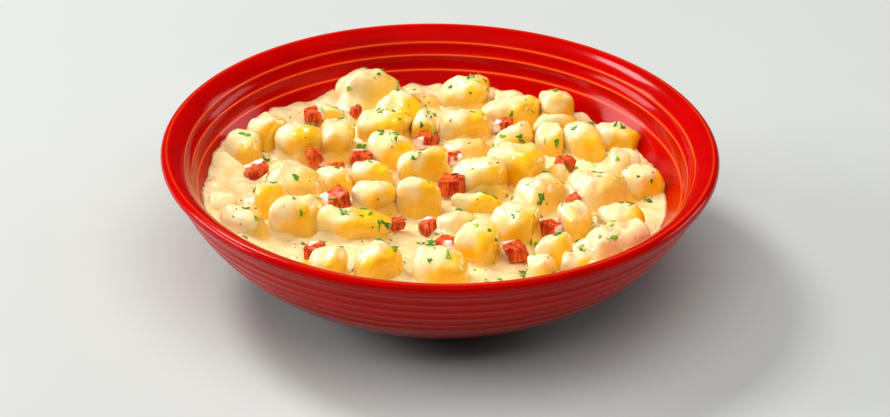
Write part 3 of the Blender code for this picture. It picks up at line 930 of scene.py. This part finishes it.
def leaf_fleck(directions, size, draw):
    """A torn scrap of leaf: a disc, ragged in outline, thin, and curled across."""
    around = np.arctan2(directions[:, 1], directions[:, 0])
    outline = 1 + sum(
        draw.uniform(0.12, 0.36) * np.cos(k * around + draw.uniform(0, 2 * np.pi)) for k in (2, 3, 5)
    )
    narrow = draw.uniform(0.45, 0.95)
    shape = directions * (size / 2 * outline)[:, None] * (1.0, narrow, 1.0)
    shape[:, 2] = directions[:, 2] * 0.16
    shape[:, 2] += draw.uniform(-0.5, 0.5) * shape[:, 0] ** 2 / size
    shape[:, 2] += draw.uniform(-0.3, 0.6) * shape[:, 1] ** 2 / size
    return shape


def stem_sliver(directions, length, draw):
    """A thin sliver of stalk, slightly bent."""
    shape = directions * (length / 2, draw.uniform(0.18, 0.32), 0.2)
    shape[:, 1] += draw.uniform(-0.12, 0.12) * shape[:, 0] ** 2
    return shape


def make_parsley(drop):
    """Flecks and slivers of stalk, sprinkled where PARSLEY_SPRINKLES says and loosely all over.
    Each lies on what is under it, tilted a little at random."""
    directions, quads, triangles = closed_shell(6, 10)
    draw = np.random.default_rng(11)
    spots = []
    for x, y, count, spread in PARSLEY_SPRINKLES:
        spots += [(x + dx, y + dy) for dx, dy in draw.normal(size=(count, 2)) * spread * 0.45]
    angles, reach = draw.uniform(0, 2 * np.pi, LOOSE_PARSLEY), np.sqrt(draw.uniform(0, 1, LOOSE_PARSLEY))
    spots += list(zip(np.cos(angles) * reach * 99, np.sin(angles) * reach * 99))
    shapes, tones = [], []
    for x, y in spots:
        where, normal = drop(x, y)
        stem = draw.uniform() < 0.2
        if stem:
            shape = stem_sliver(directions, draw.uniform(2.5, 5.0), draw)
        else:
            shape = leaf_fleck(directions, draw.uniform(1.4, 3.8), draw)
        lean = normal + draw.normal(size=3) * 0.18
        lean /= np.linalg.norm(lean)
        shape = shape @ frame_on(lean, draw.uniform(0, 2 * np.pi)).T
        shapes.append(shape + where + normal * 0.18)
        tone = draw.uniform(0.6, 1.0) if stem else draw.beta(1.6, 2.4)
        tones.append(np.full(len(directions), tone))
    points, quads, triangles = many_shells(np.array(shapes), quads, triangles)
    piece = new_piece("chopped_parsley", points, quads, triangles, {"leaf_tone": np.concatenate(tones)})
    return finish_piece(piece, chopped_herb(), "cream_sauce")


def make_pepper(drop):
    """Angular grains, 0.4 to 1 mm across: a shell whose radius is raised and lowered at
    random, half sunk in what they lie on."""
    directions, quads, triangles = closed_shell(5, 7)
    draw = np.random.default_rng(17)
    angles, reach = draw.uniform(0, 2 * np.pi, PEPPER_GRAINS), np.sqrt(draw.uniform(0, 1, PEPPER_GRAINS))
    shapes, tones = [], []
    for x, y in zip(np.cos(angles) * reach * 100, np.sin(angles) * reach * 100):
        where, normal = drop(x, y)
        size = draw.uniform(0.35, 0.95)
        ragged = draw.uniform(0.7, 1.2, (len(directions), 1))
        shape = directions * ragged * (size / 2) @ frame_on(normal, draw.uniform(0, 6)).T
        shapes.append(shape + where)
        tones.append(np.full(len(directions), draw.beta(1.2, 2.0)))
    points, quads, triangles = many_shells(np.array(shapes), quads, triangles)
    piece = new_piece("ground_pepper", points, quads, triangles, {"husk": np.concatenate(tones)}, smooth=False)
    return finish_piece(piece, ground_pepper(), "cream_sauce")


# ---- studio -------------------------------------------------------------------------------------
VIEW_HEIGHT = 28.36  # degrees the camera looks down at the rim from
VIEW_ROLL = 1.055  # degrees the camera leans
VIEW_DISTANCE = 14 * BOWL_RADIUS
VIEW_AIM = (-0.0012065, 0.015851)  # where the rim's centre lies off the aim, right and up
LENS = 158.24  # mm, on a 36 mm sensor


def make_camera():
    """Stands VIEW_DISTANCE from the rim's centre, leans by VIEW_ROLL, and aims a little past
    the centre, by VIEW_AIM, the tangents of the angles."""
    high = math.radians(VIEW_HEIGHT)
    back = Vector((0.0, -math.cos(high), math.sin(high)))
    right, up = Vector((1.0, 0.0, 0.0)), Vector((0.0, math.sin(high), math.cos(high)))
    lean = math.radians(VIEW_ROLL)
    leaned_right = right * math.cos(lean) + up * math.sin(lean)
    leaned_up = up * math.cos(lean) - right * math.sin(lean)
    stand = Matrix((leaned_right, leaned_up, back)).transposed()
    past = Vector((*VIEW_AIM, -1.0)).rotation_difference(Vector((0.0, 0.0, -1.0)))
    data = bpy.data.cameras.new("camera")
    data.lens, data.sensor_width = LENS, 36.0
    data.clip_start, data.clip_end = 0.1, 20.0
    camera = bpy.data.objects.new("camera", data)
    place = (Vector((0, 0, RIM)) + back * VIEW_DISTANCE) * MM
    camera.matrix_world = Matrix.Translation(place) @ (stand @ past.to_matrix()).to_4x4()
    bpy.context.scene.collection.objects.link(camera)
    bpy.context.scene.camera = camera


def soft_light(name, place, size, watts, mirrored=True):
    """A rectangular soft box at place, turned to the dish; sizes in metres. One that isn't
    mirrored is left out of reflections, as if it lit the dish through a diffusing screen."""
    data = bpy.data.lights.new(name, "AREA")
    data.shape, data.size, data.size_y = "RECTANGLE", size[0], size[1]
    data.energy = watts
    light = bpy.data.objects.new(name, data)
    light.visible_glossy = mirrored
    toward = Vector((0.0, 0.0, 0.04)) - Vector(place)
    light.matrix_world = Matrix.Translation(place) @ toward.to_track_quat("-Z", "Y").to_matrix().to_4x4()
    bpy.context.scene.collection.objects.link(light)


def make_studio():
    """A white table, a key soft box at the back left, a large one above, a low panel on each
    side for the glaze to mirror, and a dim even room."""
    floor = new_piece(
        "table_top",
        np.array([[-4000, -4000, 0], [4000, -4000, 0], [4000, 4000, 0], [-4000, 4000, 0.0]]),
        np.array([[0, 1, 2, 3]]),
        np.zeros((0, 3), int),
        smooth=False,
    )
    floor.data.materials.append(pale_floor())
    soft_light("key_box", (-1.35, 0.95, 2.1), (0.7, 0.7), 45)
    soft_light("top_screen", (0.1, -0.8, 2.6), (2.8, 2.8), 77, mirrored=False)
    soft_light("left_panel", (-2.4, 0.2, 0.95), (1.5, 0.9), 50)
    soft_light("right_panel", (2.2, 0.9, 0.75), (1.2, 0.8), 14)
    world = bpy.data.worlds.new("room")
    world.use_nodes = True
    world.node_tree.nodes["Background"].inputs["Color"].default_value = (1.0, 1.0, 1.0, 1.0)
    world.node_tree.nodes["Background"].inputs["Strength"].default_value = 0.05
    bpy.context.scene.world = world
    bpy.context.scene.view_settings.view_transform = "Standard"


make_camera()
make_studio()
make_bowl()
gnocchi = make_gnocchi()
sauce = make_sauce()
ham = make_ham()
plumb = surface_under([gnocchi, sauce, ham])
make_parsley(plumb)
make_pepper(plumb)
